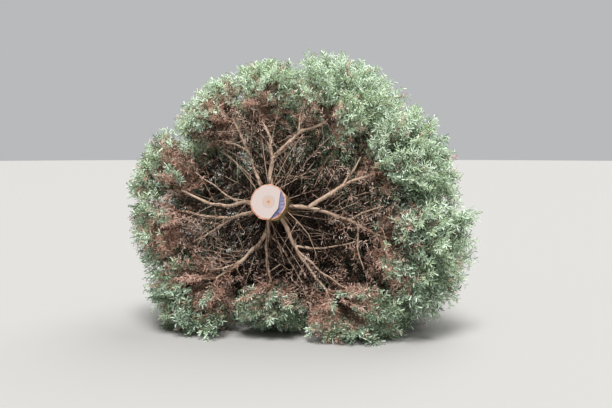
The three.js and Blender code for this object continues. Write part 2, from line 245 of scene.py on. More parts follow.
for along in trunk_rings():
    if along > 0:
        ring, verts = draw_out(bm, ring)
    set_ring(verts, along)
bmesh.ops.contextual_create(bm, geom=ring)
ring = first_edges
for share in CUT_RINGS:
    before = set(bm.faces)
    ring, verts = draw_out(bm, ring)
    for vert in verts:
        side = flat_way(turn_of(vert))
        lump = RIND_LUMP * noise.noise(side * RIND_LUMPS_ROUND) if share == CUT_RINGS[0] else 0
        vert.co = side * CUT_RADIUS * (share + lump)
    for face in set(bm.faces) - before:
        face.material_index = RIND_SLOT if share == CUT_RINGS[0] else WOOD_SLOT
for face in bmesh.ops.contextual_create(bm, geom=ring)["faces"]:
    face.material_index = WOOD_SLOT
step_edges = [(flat_way(turn), start) for turn, start in STEP_EDGES]


def beyond_step(point):
    """How far a point of the cut face lies beyond the edge of the step."""
    return max(point.dot(way) - start for way, start in step_edges)


for way, start in step_edges:
    for chord in (start, start + STEP_WALL):
        front = [face for face in bm.faces if face.calc_center_median().z < STEP_FADE]
        parts = dict.fromkeys(part for face in front for part in (*face.verts, *face.edges, face))
        bmesh.ops.bisect_plane(bm, geom=list(parts), plane_co=way * chord, plane_no=way)
# Beyond the step the cut wood takes a bluish grey: painted shade on the recessed face.
for face in bm.faces:
    if face.material_index == WOOD_SLOT and beyond_step(face.calc_center_median()) > 0:
        face.material_index = SHADED_STEP_SLOT
for vert in bm.verts:
    beyond = beyond_step(vert.co)
    if beyond > STEP_WALL / 2 and vert.co.z < STEP_FADE:
        depth = STEP_DEPTH + beyond * math.tan(math.radians(STEP_SLOPE))
        vert.co.z += depth * (1 - vert.co.z / STEP_FADE)
to_frame = Matrix((RIGHT, UPPER, ALONG)).transposed().to_4x4()
to_frame.translation = CUT_CENTRE
bmesh.ops.transform(bm, matrix=to_frame, verts=bm.verts[:])
bmesh.ops.recalc_face_normals(bm, faces=bm.faces[:])
for face in bm.faces:
    face.smooth = face.material_index == BARK_SLOT
trunk_mesh = finished_mesh(bm, "trunk_bark")

bark = new_material("trunk_bark", srgb(123, 95, 66), roughness=0.9)
bark_colours = (
    (0.3, 88, 68, 52),
    (0.42, 146, 118, 88),
    (0.52, 144, 134, 86),
    (0.6, 184, 132, 94),
    (0.72, 182, 170, 132),
)
patches(bark, bark_colours, scale=22, relief=0.003)
rind = new_material("cut_bark_edge", srgb(212, 142, 108), roughness=0.8)
rind_colours = ((0.36, 164, 106, 80), (0.5, 206, 150, 124), (0.64, 228, 190, 172))
patches(rind, rind_colours, scale=48, relief=0.0008)
cut_wood = new_material("cut_wood", srgb(208, 188, 178), roughness=0.7)
# The recessed step of the cut is painted bluish grey: painted shade, not a colour of the wood.
shaded_step_wood = new_material("painted_shade_step_wood", srgb(140, 140, 178), roughness=0.6)
shaded_step_colours = ((0.32, 78, 74, 96), (0.46, 118, 114, 146), (0.58, 140, 138, 170), (0.7, 190, 182, 192))
patches(shaded_step_wood, shaded_step_colours, scale=70, relief=0.0008)

# Growth rings round a pith that lies a little off the middle of the cut.
PITH_OFF_CENTRE = (0.002, 0.001)
RING_SPACING = 0.0062
RING_WANDER = 0.004
RING_WANDER_SCALE = 24
RING_DARKEST = 0.8
HEART_RADIUS = 0.03
wood = cut_wood.node_tree
pith = CUT_CENTRE + RIGHT * PITH_OFF_CENTRE[0] + UPPER * PITH_OFF_CENTRE[1]
where = add_node(wood, "TexCoord", "Object", {})
from_pith = add_node(wood, "VectorMath", "Vector", {0: where, 1: pith}, operation="SUBTRACT")
distance = add_node(wood, "VectorMath", "Value", {0: from_pith}, operation="LENGTH")
wander = add_node(wood, "TexNoise", "Fac", {"Vector": where, "Scale": RING_WANDER_SCALE})
wavy = add_node(wood, "Math", "Value", {0: wander, 1: RING_WANDER, 2: distance}, operation="MULTIPLY_ADD")
turns = add_node(wood, "Math", "Value", {0: wavy, 1: 2 * math.pi / RING_SPACING}, operation="MULTIPLY")
wave = add_node(wood, "Math", "Value", {0: turns}, operation="SINE")
ring_share = add_node(wood, "MapRange", "Result", {"Value": wave, "From Min": -1, "To Min": RING_DARKEST})
near_pith = add_node(wood, "MapRange", "Result", {"Value": distance, "From Max": HEART_RADIUS})
shade = add_node(wood, "Math", "Value", {0: ring_share, 1: near_pith}, operation="MULTIPLY")
wood_colours = (
    (0.04, 160, 118, 94),
    (0.2, 206, 170, 146),
    (0.5, 204, 180, 166),
    (0.8, 194, 178, 172),
    (1, 216, 202, 196),
)
ramp(wood, shade, wood_colours)
add_piece("trunk_bark", trunk_mesh, [bark, rind, cut_wood, shaded_step_wood], ["trunk"])

# Boughs
# Each whorl of boughs leaves the trunk at one height, the lowest with ten bare ones that reach out to the
# foliage. Thin grey-tan bark with knots where side twigs broke off. Each is one tapering limb.
WIDEST_AT = 0.4
FRONT_ROUNDING = 0.58
CROWN_TAPER = 1.25
CROWN_RADIUS = 0.78
BULGE = 0.08
BULGE_TURN = 340
LEADER_BARE = 0.025
CROWN_FRONT = 0.06
NOTCH = 0.07
NOTCH_TURN = 26
EVEN_JITTER = 0.12
REACH_JITTER = 0.03
# Turns at the root, at two bends and at the end, length of the bare part, reach of the foliage, and for a
# bough that forks off another, which one and at what share of its length.
LOW_BOUGHS = [
    ((2, 12, 20, 20), 0.44, 0.835, 9, 0.36),
    ((98, 86, 75, 62), 0.43, 0.81, 2, 0.5),
    ((106, 99, 97, 103), 0.45, 0.74),
    ((132, 127, 119, 119), 0.43, 0.733),
    ((161, 173, 179, 171), 0.44, 0.767),
    ((198, 196, 189, 183), 0.43, 0.748),
    ((256, 248, 238, 231), 0.4, 0.785, 7, 0.34),
    ((252, 258, 263, 268), 0.33, 0.568),
    ((306, 300, 301, 303), 0.42, 0.818),
    ((0, 359, 354, 346), 0.45, 0.9),
]
# For each whorl further along: how many boughs, the first one's turn, and how much of their reach is bare.
EVEN_WHORLS = ((6, 38, 0.46), (5, 20, 0.42), (4, 62, 0), (4, 18, 0), (3, 80, 0), (3, 25, 0), (2, 90, 0))
# Where each whorl leaves the trunk, and how far back its layer of foliage leans on the way out.
WHORL_AT = (0.118, 0.4, 0.68, 0.96, 1.24, 1.51, 1.78, 1.99)
LAYER_SLOPES = (0.22, 0.34, 0.4, 0.44, 0.48, 0.52, 0.56)
BOUGH_RADIUS = 0.0095
BOUGH_END_RADIUS = 0.005
BOUGH_WAVE = 0.014
BOUGH_TURN_WAVE = 2
BOUGH_BENDS = (0.3, 0.65)
WHORL_SPREAD = 0.022
BOUGH_END_DEPTH = 0.42


def chance(whorl, mass, item, use):
    """A number from 0 to 1, always the same for the same whorl, mass, item and use. Each length, turn or
    colour that is left to chance has a use of its own."""
    seed = whorl * 131.7 + mass * 17.31 + item * 3.77 + use * 0.613 + 1
    wave = math.sin(seed * 12.9898) * 43758.5453
    return wave - math.floor(wave)


def sway(whorl, mass, item, use):
    """A number from -1 to 1 by the same rule."""
    return 2 * chance(whorl, mass, item, use) - 1


def crown_share(along):
    """The crown's outline as a share of its widest: rounded in front, a long taper behind."""
    if along < WIDEST_AT:
        front = (WIDEST_AT - along) / FRONT_ROUNDING
        return math.sqrt(max(0, 1 - front * front))
    back = min(1, (along - WIDEST_AT) / (TREE_LENGTH - WIDEST_AT))
    return 1 - back**CROWN_TAPER


def side_reach(turn):
    """The crown's reach at its widest, which bulges on one side."""
    return CROWN_RADIUS * (1 + BULGE * math.cos(math.radians(turn - BULGE_TURN)))


def turn_from(start, end):
    """The smallest angle from one turn to another, between -180 and 180."""
    return (end - start + 180) % 360 - 180


def layer_front(whorl, out):
    """How far along the trunk the front of a whorl's layer lies, at a distance out."""
    return CROWN_FRONT if whorl == 0 else layer_back(whorl - 1, out)


def layer_back(whorl, out):
    if whorl == len(LAYER_SLOPES):
        return TREE_LENGTH - LEADER_BARE
    return (WHORL_AT[whorl] + WHORL_AT[whorl + 1]) / 2 + LAYER_SLOPES[whorl] * out


def layer_place(whorl, out, depth=0.5):
    """How far along the trunk a share of the layer's depth lies, or its middle."""
    return lerp(layer_front(whorl, out), layer_back(whorl, out), depth)


def layer_point(whorl, out, turn, depth=0.5):
    return place(layer_place(whorl, out, depth), out, turn)


@dataclass
class Cell:
    """The space of one mass of foliage, round one bough's end."""

    whorl: int
    index: int
    turns: tuple
    turn: float
    bare_out: float
    reach: float
    after: float
    before: float
    fork_of: int = -1
    fork_at: float = 0.0

    def chance(self, item, use):
        return chance(self.whorl, self.index, item, use)

    def sway(self, item, use):
        return sway(self.whorl, self.index, item, use)


def even_boughs(whorl, count, first_turn, bare):
    """A whorl of straight boughs, evenly set but for a little chance, in rows like those of LOW_BOUGHS."""
    for i in range(count):
        turn = first_turn + 360 / count * (i + EVEN_JITTER * sway(whorl, i, 0, 1))
        reach = side_reach(turn) * (1 + REACH_JITTER * sway(whorl, i, 0, 2))
        widest = crown_share(layer_place(whorl, reach / 2, BOUGH_END_DEPTH)) * reach
        yield (turn, turn, turn, turn), bare * widest, reach


def crown_cells():
    """Every cell of the crown, whorl by whorl. A side border lies half way to the next bough's end."""
    cells = []
    even_whorls = [list(even_boughs(whorl, *row)) for whorl, row in enumerate(EVEN_WHORLS, 1)]
    for whorl, boughs in enumerate([LOW_BOUGHS, *even_whorls]):
        ends = [turns[-1] for turns, *_ in boughs]
        for index, (turns, bare_out, reach, *fork) in enumerate(boughs):
            turn = ends[index]
            after = abs(turn_from(turn, ends[(index + 1) % len(ends)])) / 2
            before = abs(turn_from(turn, ends[index - 1])) / 2
            cells.append(Cell(whorl, index, turns, turn, bare_out, reach, after, before, *fork))
    return cells


def bough_end(cell):
    """Where a bough's bare part ends and its foliage begins."""
    return layer_point(cell.whorl, cell.bare_out, cell.turn, BOUGH_END_DEPTH)


def bough_root(cell):
    """Where a bough starts: on the trunk's axis, or on the middle line of the bough that it forks from."""
    if cell.fork_of < 0:
        at = WHORL_AT[cell.whorl] + WHORL_SPREAD * cell.sway(0, 3)
        return place(at, 0, cell.turns[0])
    parent = smooth_path(bough_points(cells[cell.fork_of]), BOUGH_STEPS)
    return parent[round(cell.fork_at * (len(parent) - 1))]


def bough_points(cell):
    """The root, the two bends and the end of a bough's middle line."""
    root, end = bough_root(cell), bough_end(cell)
    root_along, root_out, _ = place_of(root)
    end_along, end_out, _ = place_of(end)
    points = [root]
    for bend, share in enumerate(BOUGH_BENDS):
        along = lerp(root_along, end_along, share) + BOUGH_WAVE * cell.sway(bend, 4)
        turn = cell.turns[bend + 1] + BOUGH_TURN_WAVE * cell.sway(bend, 5)
        points.append(place(along, lerp(root_out, end_out, share), turn))
    return points + [end]


def smooth_path(points, steps):
    """A smooth line through the points, with this many steps between each two."""
    ends = [points[0] * 2 - points[1], *points, points[-1] * 2 - points[-2]]
    path = [points[0]]
    for before, start, end, after in zip(ends, ends[1:], ends[2:], ends[3:]):
        leave = start + (end - before) / 6
        arrive = end - (after - start) / 6
        path += geometry.interpolate_bezier(start, leave, arrive, end, steps + 1)[1:]
    return path


KNOT_SHARE = 0.3
KNOT_LENGTH = 0.007
KNOT_PLACES = (0.12, 0.19, 0.27, 0.34)
LIMB_LUMP = 0.09
LIMB_LUMPS_PER_METRE = 90


def grow_limb(bm, path, start_radius, end_radius, sides, knots=()):
    """A tapering limb along a path: a circle drawn out ring by ring, closed at both ends, with a swelling
    at each knot's distance along it."""
    forward = (path[1] - path[0]).normalized()
    across = forward.orthogonal().normalized()
    verts = bmesh.ops.create_circle(bm, segments=sides, radius=1)["verts"]
    edges = list(dict.fromkeys(edge for vert in verts for edge in vert.link_edges))
    bmesh.ops.contextual_create(bm, geom=edges)
    turns = [2 * math.pi * i / sides for i in range(sides)]
    walked = 0
    total = sum((b - a).length for a, b in zip(path, path[1:]))
    for step, point in enumerate(path):
        if step > 0:
            walked += (point - path[step - 1]).length
            edges, verts = draw_out(bm, edges)
        after = path[min(step + 1, len(path) - 1)]
        before = path[max(step - 1, 0)]
        forward = (after - before).normalized()
        across = (across - forward * across.dot(forward)).normalized()
        up = forward.cross(across)
        radius = lerp(start_radius, end_radius, walked / total)
        radius *= 1 + KNOT_SHARE * sum(math.exp(-(((walked - knot) / KNOT_LENGTH) ** 2)) for knot in knots)
        for vert, turn in zip(verts, turns):
            side = across * math.cos(turn) + up * math.sin(turn)
            lump = 1 + LIMB_LUMP * noise.noise((point + side * radius) * LIMB_LUMPS_PER_METRE)
            vert.co = point + side * radius * lump
    bmesh.ops.contextual_create(bm, geom=edges)


def limb_mesh(bm, name):
    """The grown limbs as one smooth mesh."""
    bmesh.ops.recalc_face_normals(bm, faces=bm.faces[:])
    for face in bm.faces:
        face.smooth = True
    return finished_mesh(bm, name)


BOUGH_SIDES = 10
BOUGH_STEPS = 22
KINK = 0.009
KINKS_PER_METRE = 15
# Without a seed the kinks would be others in every run.
noise.seed_set(3)


def crooked(path):
    """The path with small kinks in it, except at its two ends."""
    last = len(path) - 1
    kinks = [noise.noise_vector(point * KINKS_PER_METRE) * KINK for point in path]
    return [point + kink * math.sin(math.pi * i / last) for i, (point, kink) in enumerate(zip(path, kinks))]


# Thin side limbs of the low boughs: which bough, at what share of its length, and turn and distance out of
# the limb's end.
SIDE_LIMBS = (
    (9, 0.72, 2, 0.48), (9, 0.84, 326, 0.47), (4, 0.42, 158, 0.42), (1, 0.6, 78, 0.47),
    (7, 0.4, 291, 0.46), (8, 0.55, 314, 0.5), (8, 0.5, 338, 0.38), (2, 0.62, 114, 0.45),
    (3, 0.7, 134, 0.42), (5, 0.55, 203, 0.41), (6, 0.6, 222, 0.42), (0, 0.55, 32, 0.43),
)
SIDE_LIMB_RADIUS = 0.0048
SIDE_LIMB_END_RADIUS = 0.0024
SIDE_LIMB_BOW = 0.1
SIDE_LIMB_SIDES = 7
cells = crown_cells()
bare_cells = [cell for cell in cells if cell.bare_out > 0]
bough_paths = {}
bm = bmesh.new()
for cell in bare_cells:
    path = crooked(smooth_path(bough_points(cell), BOUGH_STEPS))
    bough_paths[cell.whorl, cell.index] = path
    grow_limb(bm, path, BOUGH_RADIUS, BOUGH_END_RADIUS, BOUGH_SIDES, KNOT_PLACES)
for number, (index, share, turn, out) in enumerate(SIDE_LIMBS):
    parent = bough_paths[0, index]
    start = parent[round(share * (len(parent) - 1))]
    end = layer_point(0, out, turn, BOUGH_END_DEPTH)
    bow = Vector([sway(0, index, number, use) for use in (80, 81, 82)]) * (end - start).length * SIDE_LIMB_BOW
    path = crooked(smooth_path([start, start.lerp(end, 0.5) + bow, end], BOUGH_STEPS))
    bough_paths["side", number] = path
    grow_limb(bm, path, SIDE_LIMB_RADIUS, SIDE_LIMB_END_RADIUS, SIDE_LIMB_SIDES)
bough_bark = new_material("bough_bark", srgb(170, 142, 120), roughness=0.85)
bough_colours = ((0.3, 132, 106, 88), (0.45, 188, 160, 138), (0.58, 208, 182, 160), (0.7, 166, 156, 120))
patches(bough_bark, bough_colours, scale=30, relief=0.001)
bough_nodes = [f"bough_{cell.whorl + 1}_{cell.index + 1}" for cell in bare_cells]
add_piece("bough_bark", limb_mesh(bm, "bough_bark"), [bough_bark], bough_nodes)

# Stems of the masses
# A bough goes on through its foliage as a thinner stem that carries all its twigs, and ends among the
# needles. On the upper whorls it starts at the trunk.
SHORT_STEM_RADIUS = 0.17
STEM_END_RADIUS = 0.00336
STEM_TIP_RADIUS = 0.002
STEM_END_SHARE = 0.45
STEM_TIP_SHARE = 0.86
GROUND_PRESS = 0.045
STEM_SIDES = 7
STEM_STEPS = 6
STEM_TIP_STEPS = 4


@dataclass
class Stem:
    """The straight part of a mass's stem, which carries the twigs, and its radius where it starts."""

    start: Vector
    end: Vector
    radius: float


def cell_reach(cell, along, turn):
    """The crown's reach in a cell, a little less away from its middle."""
    side = turn_from(cell.turn, turn) / NOTCH_TURN
    return cell.reach * crown_share(along) * (1 - NOTCH * min(1, side**2))


def middle_reach(cell):
    return cell_reach(cell, layer_place(cell.whorl, cell.reach / 2), cell.turn)


def grounded_reach(cell):
    """The reach at a cell's middle, cut short where the ground is nearer."""
    out = middle_reach(cell)
    height = CUT_CENTRE.z + ALONG.z * layer_place(cell.whorl, out)
    fall = -outward(cell.turn).z
    return min(out, (height - GROUND_PRESS) / fall) if fall > 0 else out


def stem_of(cell):
    """The stem of a mass, from the bough's end, or from the trunk where the bough has no bare part."""
    end_out = lerp(cell.bare_out, grounded_reach(cell), STEM_END_SHARE)
    end = layer_point(cell.whorl, end_out, cell.turn)
    if cell.bare_out == 0:
        at = WHORL_AT[cell.whorl]
        return Stem(place(at, 0, cell.turn), end, SHORT_STEM_RADIUS * trunk_radius(at))
    return Stem(bough_end(cell), end, BOUGH_END_RADIUS)


def straight_path(stem, steps):
    return [stem.start.lerp(stem.end, i / steps) for i in range(steps + 1)]


def stem_tip(cell):
    """Where the stem's bent end, which carries no twigs, stops among the needles."""
    return layer_point(cell.whorl, grounded_reach(cell) * STEM_TIP_SHARE, cell.turn)


bm = bmesh.new()
for cell in cells:
    stem = stem_of(cell)
    grow_limb(bm, straight_path(stem, STEM_STEPS), stem.radius, STEM_END_RADIUS, STEM_SIDES)
    onward = smooth_path([stem.end, stem.end.lerp(stem_tip(cell), 0.5), stem_tip(cell)], STEM_TIP_STEPS)
    grow_limb(bm, onward, STEM_END_RADIUS, STEM_TIP_RADIUS, STEM_SIDES)
foliage_nodes = [f"foliage_{cell.whorl + 1}_{cell.index + 1}" for cell in cells]
add_piece("stem_bark", limb_mesh(bm, "stem_bark"), [bough_bark], foliage_nodes)

# Sprays
# Each stem's twigs end in flat sprays: a middle shoot with pairs of side shoots, which have shorter pairs
# of their own. Their tips lie on the crown's outline, and the lowest lie pressed on the ground.
CELL_MARGIN = 0.004
TIP_SLACK = 0.002
TRUNK_CLEARANCE = 0.006
GROUND_CLEARANCE = 0.0002
FIRST_TWIG = 0.08
LAST_TWIG = 0.97
COLUMN_WIDTH = 0.192
ROW_DEPTH = 0.15
FEWEST_COLUMNS = 3
FEWEST_ROWS = 2
MOST_ROWS = 10
ROW_STAGGER = 0.22
COLUMN_JITTER = 0.12
ROW_JITTER = 0.15
SPRAY_LONGEST = 0.31
SPRAY_SHARE = 0.7
SPRAY_THICKNESS = 0.04
SPRAY_DROOP = 0.08
SPRAY_ROLL = 26
SPRAY_SIZES = (1, 0.88, 0.76, 0.64, 0.52, 0.4)
SPRAY_CENTRE = 0.5
SPRAY_TEETH = ((0.28, 0.33), (0.42, 0.17), (0.62, 0.33), (0.74, 0.14))
OUTLINE_ROUNDS = 4


@dataclass
class Spray:
    """A flat spray: its blade's root, length and directions, and the base of its twig on the stem."""

    cell: Cell
    item: int
    base: Vector
    root: Vector
    forward: Vector
    side: Vector
    face: Vector
    length: float
    flat: bool

    def point(self, u, v, rise=0.0):
        """A point of the blade, in shares of its length: along, to the side and off its face."""
        droop = 0 if self.flat else -SPRAY_DROOP * (max(0, u) ** 2 + 2 * v * v)
        return self.root + (self.forward * u + self.side * v + self.face * (droop + rise)) * self.length

    def sway(self, use):
        return self.cell.sway(self.item, use)


def fits_cell(cell, point):
    """Whether a point keeps to its own mass, clear of the next ones, the trunk and the ground."""
    along, out, turn = place_of(point)
    side = turn_from(cell.turn, turn)
    half = cell.before if side < 0 else cell.after
    to_border = out * math.sin(math.radians(min(90, half - abs(side))))
    in_layer = layer_front(cell.whorl, out) + CELL_MARGIN < along < layer_back(cell.whorl, out) - CELL_MARGIN
    inner = max(cell.bare_out, trunk_radius(along) + TRUNK_CLEARANCE)
    in_reach = inner < out < cell_reach(cell, along, turn) + TIP_SLACK
    return to_border > CELL_MARGIN and in_layer and in_reach and point.z > 0


def fits_crown(cell, point, reach_share=1.0):
    """Whether a point keeps to the crown, also where it crosses into the next mass."""
    along, out, turn = place_of(point)
    reach = cell_reach(cell, along, turn) * reach_share + TIP_SLACK
    behind_cut = along > CROWN_FRONT and point.y > CUT_CENTRE.y
    return behind_cut and point.z > 0 and trunk_radius(along) + TRUNK_CLEARANCE < out < reach


def spray_tip(cell, turn, depth=0.5):
    """The tip of a spray on the crown's outline. The outline and the layer depend on each other, so a few
    rounds settle it."""
    out = cell.reach
    for _ in range(OUTLINE_ROUNDS):
        out = cell_reach(cell, layer_place(cell.whorl, out, depth), turn)
    return layer_point(cell.whorl, out, turn, depth)


def twig_base(stem, tip):
    """The base of a twig on the stem, far enough back for the twig to leave it at about 45 degrees."""
    length = (stem.end - stem.start).length
    axis = (stem.end - stem.start).normalized()
    forward = (tip - stem.start).dot(axis)
    across = (tip - stem.start - axis * forward).length
    return stem.start + axis * min(max(forward - across, FIRST_TWIG * length), LAST_TWIG * length)


def fit_spray(cell, tip, item, fits, roll_most, longest):
    """A spray at the end of a straight twig from the stem, made smaller until every point of it fits."""
    base = twig_base(stem_of(cell), tip)
    lies = tip.z < GROUND_PRESS
    target = Vector((tip.x, tip.y, max(tip.z, GROUND_CLEARANCE)))
    span = (target - base).length
    forward = (target - base).normalized()
    length = min(longest, SPRAY_SHARE * span)
    back = Vector((0, 0, 1)) if lies else outward(place_of(base)[2]) + ALONG
    roll = 0 if lies else roll_most * cell.sway(item, 6)
    side = forward.cross(back).normalized()
    side.rotate(Matrix.Rotation(math.radians(roll), 3, forward))
    face = side.cross(forward)
    root = base + forward * (span - length)
    for size in SPRAY_SIZES:
        spray = Spray(cell, item, base, root, forward, side, face, length * size, lies)
        edge = [(1, 0), *SPRAY_TEETH, *((u, -v) for u, v in SPRAY_TEETH)]
        edge += [(SPRAY_CENTRE, 0, rise) for rise in (-SPRAY_THICKNESS / 2, SPRAY_THICKNESS / 2)]
        if all(fits(cell, spray.point(*shares)) for shares in edge):
            return spray
    return None


def spray_grid(cell):
    """How many columns a mass has over its width and rows over its depth."""
    middle_out = place_of(spray_tip(cell, cell.turn))[1]
    arc = math.radians(cell.before + cell.after) * middle_out
    depth = layer_back(cell.whorl, middle_out) - layer_front(cell.whorl, middle_out)
    columns = math.floor(arc / COLUMN_WIDTH + 0.5)
    rows = math.floor(depth / ROW_DEPTH + 0.5)
    return max(FEWEST_COLUMNS, columns), max(FEWEST_ROWS, rows)


def grow_sprays(cell):
    """The sprays of a mass, in even columns and rows, tips on the crown's outline."""
    columns, rows = spray_grid(cell)
    for column in range(columns):
        for row in range(rows):
            item = column * MOST_ROWS + row
            stagger = ROW_STAGGER if row % 2 == 0 else -ROW_STAGGER
            share = (column + 0.5 + stagger + COLUMN_JITTER * cell.sway(item, 7)) / columns
            turn = cell.turn - cell.before + (cell.before + cell.after) * share
            depth = (row + 0.5 + ROW_JITTER * cell.sway(item, 8)) / rows
            yield fit_spray(cell, spray_tip(cell, turn, depth), item, fits_cell, SPRAY_ROLL, SPRAY_LONGEST)


# Smaller sprays between the main ones close the crown. Their tips follow one spiral round the trunk, on
# several levels behind the outline: how far in as a share of the reach, how many, and how far back they go.
FILL_LEVELS = ((0.98, 500, 2.34), (0.9, 320, 2.2), (0.8, 160, 0.9), (0.68, 90, 0.55), (0.56, 60, 0.5))
FILL_LONGEST = 0.19
FILL_ROLL = 80
FILL_JITTER = 0.03
# Their numbers start well past those of the main sprays.
FILL_ITEMS = 1000
GOLDEN_TURN = 137.5
SPIRAL_STEPS = 200
# The sprays stand closer in front, where the crown is looked into, than from here on back.
CLOSE_UNTIL = 0.6
SPARSE_SHARE = 0.6
# Sprays further in than this share of the reach keep to the back half of their layer.
INNER_PULL = 0.7
# Where two masses of the lowest whorls meet more than this far from their middles, a few more close the way
# between them: the depth in the layer, the turn from the border and the share of the reach.
BORDER_WHORLS = 3
WIDE_BORDER = 15
BORDER_PLACES = (
    (0.2, 2, 0.98), (0.37, -5, 0.96), (0.51, 4, 0.9),
    (0.71, -2, 0.97), (0.31, 1, 0.8), (0.9, 0, 0.88),
)
# A last few stand where the way through the crown would still be open: along the trunk, the turn and the
# share of the reach.
OPEN_PLACES = (
    (0.2, 1, 0.97), (0.35, 3, 0.98), (0.5, 5, 0.98), (0.42, 359, 0.9), (0.25, 41, 0.95),
    (0.4, 45, 0.93), (0.25, 112, 0.93), (0.4, 116, 0.9), (0.2, 143, 0.95), (0.33, 149, 0.97),
    (0.42, 144, 0.98), (0.55, 147, 0.97), (0.45, 155, 0.66), (0.5, 151, 0.72), (0.6, 153, 0.76),
    (0.75, 152, 0.86), (0.25, 176, 0.9), (0.4, 174, 0.95), (0.7, 198, 0.72), (0.9, 197, 0.8),
    (0.25, 206, 0.93), (0.4, 202, 0.92), (0.55, 200, 0.9), (0.5, 211, 0.6), (0.75, 208, 0.7),
    (1.2, 168, 0.8), (1.35, 195, 0.75), (1.5, 175, 0.8), (1.6, 188, 0.75), (1.25, 12, 0.8),
    (1.45, 352, 0.8),
)


def spiral_places(count, furthest):
    """How far along the trunk each place of a spiral lies, so that they cover the crown evenly."""
    steps = np.linspace(CROWN_FRONT, furthest, SPIRAL_STEPS)
    weights = [crown_share(step) * (1 if step < CLOSE_UNTIL else SPARSE_SHARE) for step in steps]
    covered = np.cumsum(weights) / sum(weights)
    return np.interp((np.arange(count) + 0.5) / count, covered, steps)


def cell_at(along, out, turn):
    """The cell that a place of the crown belongs to."""
    whorl = 0
    while whorl < len(LAYER_SLOPES) and along > layer_back(whorl, out):
        whorl += 1
    whorl_cells = [cell for cell in cells if cell.whorl == whorl]
    return min(whorl_cells, key=lambda cell: abs(turn_from(cell.turn, turn)))


def fill_places():
    """Where the tips of the smaller sprays lie: along the trunk, by turn, and the share of the reach."""
    for level, (pull, count, furthest) in enumerate(FILL_LEVELS):
        for number, along in enumerate(spiral_places(count, furthest)):
            turn = GOLDEN_TURN * (number + level / len(FILL_LEVELS))
            yield float(along) + FILL_JITTER * sway(level, number, 0, 8), turn, pull
    for cell in cells:
        if cell.whorl < BORDER_WHORLS and cell.after > WIDE_BORDER:
            for depth, away, pull in BORDER_PLACES:
                yield layer_place(cell.whorl, middle_reach(cell), depth), cell.turn + cell.after + away, pull
    yield from OPEN_PLACES


def fill_sprays():
    for number, (along, turn, pull) in enumerate(fill_places(), FILL_ITEMS):
        cell = cell_at(along, CROWN_RADIUS * crown_share(along), turn)
        out = cell_reach(cell, along, turn) * pull
        if pull < INNER_PULL:
            along = max(along, layer_place(cell.whorl, out))
        yield fit_spray(cell, place(along, out, turn), number, fits_crown, FILL_ROLL, FILL_LONGEST)


# Where pairs of side shoots leave the middle shoot, and how long they are, in shares of the spray.
SIDE_PAIRS = ((0.0, 0.43), (0.34, 0.41), (0.67, 0.25))
SIDE_ANGLE = 49
SIDE_JITTER = 7
LENGTH_JITTER = 0.12
SMALL_PAIR_LENGTH = 0.19
SMALL_PAIR_FROM = 0.3
SMALL_PAIR_TURNS = (4, 94)
RISE_JITTER = 0.05
MIDDLE_SHARES = (0.34, 0.67, 1.0)
MIDDLE_JITTER = 0.02


def spray_twigs(spray):
    """The twigs of a spray as lists of points, in shares of its length: along, to the side and off it."""
    middle = [(share, MIDDLE_JITTER * spray.sway(20 + share), 0) for share in MIDDLE_SHARES]
    lines = [[(0, 0, 0), *middle]]
    for pair, (at, length) in enumerate(SIDE_PAIRS):
        for hand in (-1, 1):
            use = 30 + pair * 8 + hand
            angle = math.radians(SIDE_ANGLE + SIDE_JITTER * spray.sway(use))
            reach = length * (1 + LENGTH_JITTER * spray.sway(use + 0.3))
            rise = RISE_JITTER * spray.sway(use + 0.6)
            end = (at + reach * math.cos(angle), hand * reach * math.sin(angle), rise)
            if length < SMALL_PAIR_FROM:
                lines.append([(at, 0, 0), end])
                continue
            half = tuple(lerp(a, b, 0.5) for a, b in zip((at, 0, 0), end))
            lines.append([(at, 0, 0), half, end])
            for number, turn in enumerate(SMALL_PAIR_TURNS):
                small = SMALL_PAIR_LENGTH * (1 + LENGTH_JITTER * spray.sway(use + number * 0.2))
                forward = small * math.cos(math.radians(turn))
                across = hand * small * math.sin(math.radians(turn))
                lift = RISE_JITTER * spray.sway(use + number * 0.2 + 0.1)
                lines.append([half, (half[0] + forward, half[1] + across, half[2] + lift)])
    return lines


@dataclass
class Shoot:
    """A straight piece of twig with needles on it, and how full it is of them."""

    start: Vector
    end: Vector
    face: Vector
    colour: str
    fullness: float


@dataclass
class Twig:
    points: list
    radius: float
    kind: str


shoots = []
twigs = []

# How far out the dead needles go as a share of the reach, by turn round the trunk, from 0 to 360 degrees.
DEAD_TURNS = (0, 45, 90, 135, 180, 225, 270, 315, 360)
DEAD_REACH = (0.64, 0.57, 0.77, 0.85, 0.87, 0.79, 0.8, 0.8, 0.64)
# Further back it is the same all round, and towards the young tip hardly any have died: distances along the
# trunk, and the dead reach there.
DEAD_FRONT = 0.2
DEAD_ALONG = (0.5, 1.0, 1.6)
DEAD_BACK_REACH = (0.7, 0.6, 0.12)
DEAD_FADE = 0.1
# Among the dead sprays some whole ones are green, and among the green ones single shoots have died.
STRAY_SHARE = 0.09
DEAD_FULLNESS = 0.9
# Where the dead needles grow thicker, in shares of the dead reach. Deep in the crown they are dark: painted
# shade.
THIN_UNTIL = 0.55
THICK_FROM = 0.82
LEAST_FULLNESS = 0.1
DEEP_FULLNESS = 0.4
PAINTED_SHADE_FROM = 0.3
DEEP_INSIDE = 0.8
DRY_COLOURS = ("rust", "pink_brown", "dark_brown")
# Part of each shoot's needles shows its pale or dark other side, except on dark brown ones.
OTHER_SIDE = {
    "silver": "pale_green",
    "pale_green": "silver",
    "blue_green": "silver",
    "dark_green": "blue_green",
    "rust": "pink_brown",
    "pink_brown": "rust",
}
OTHER_SIDE_SHARE = 0.35
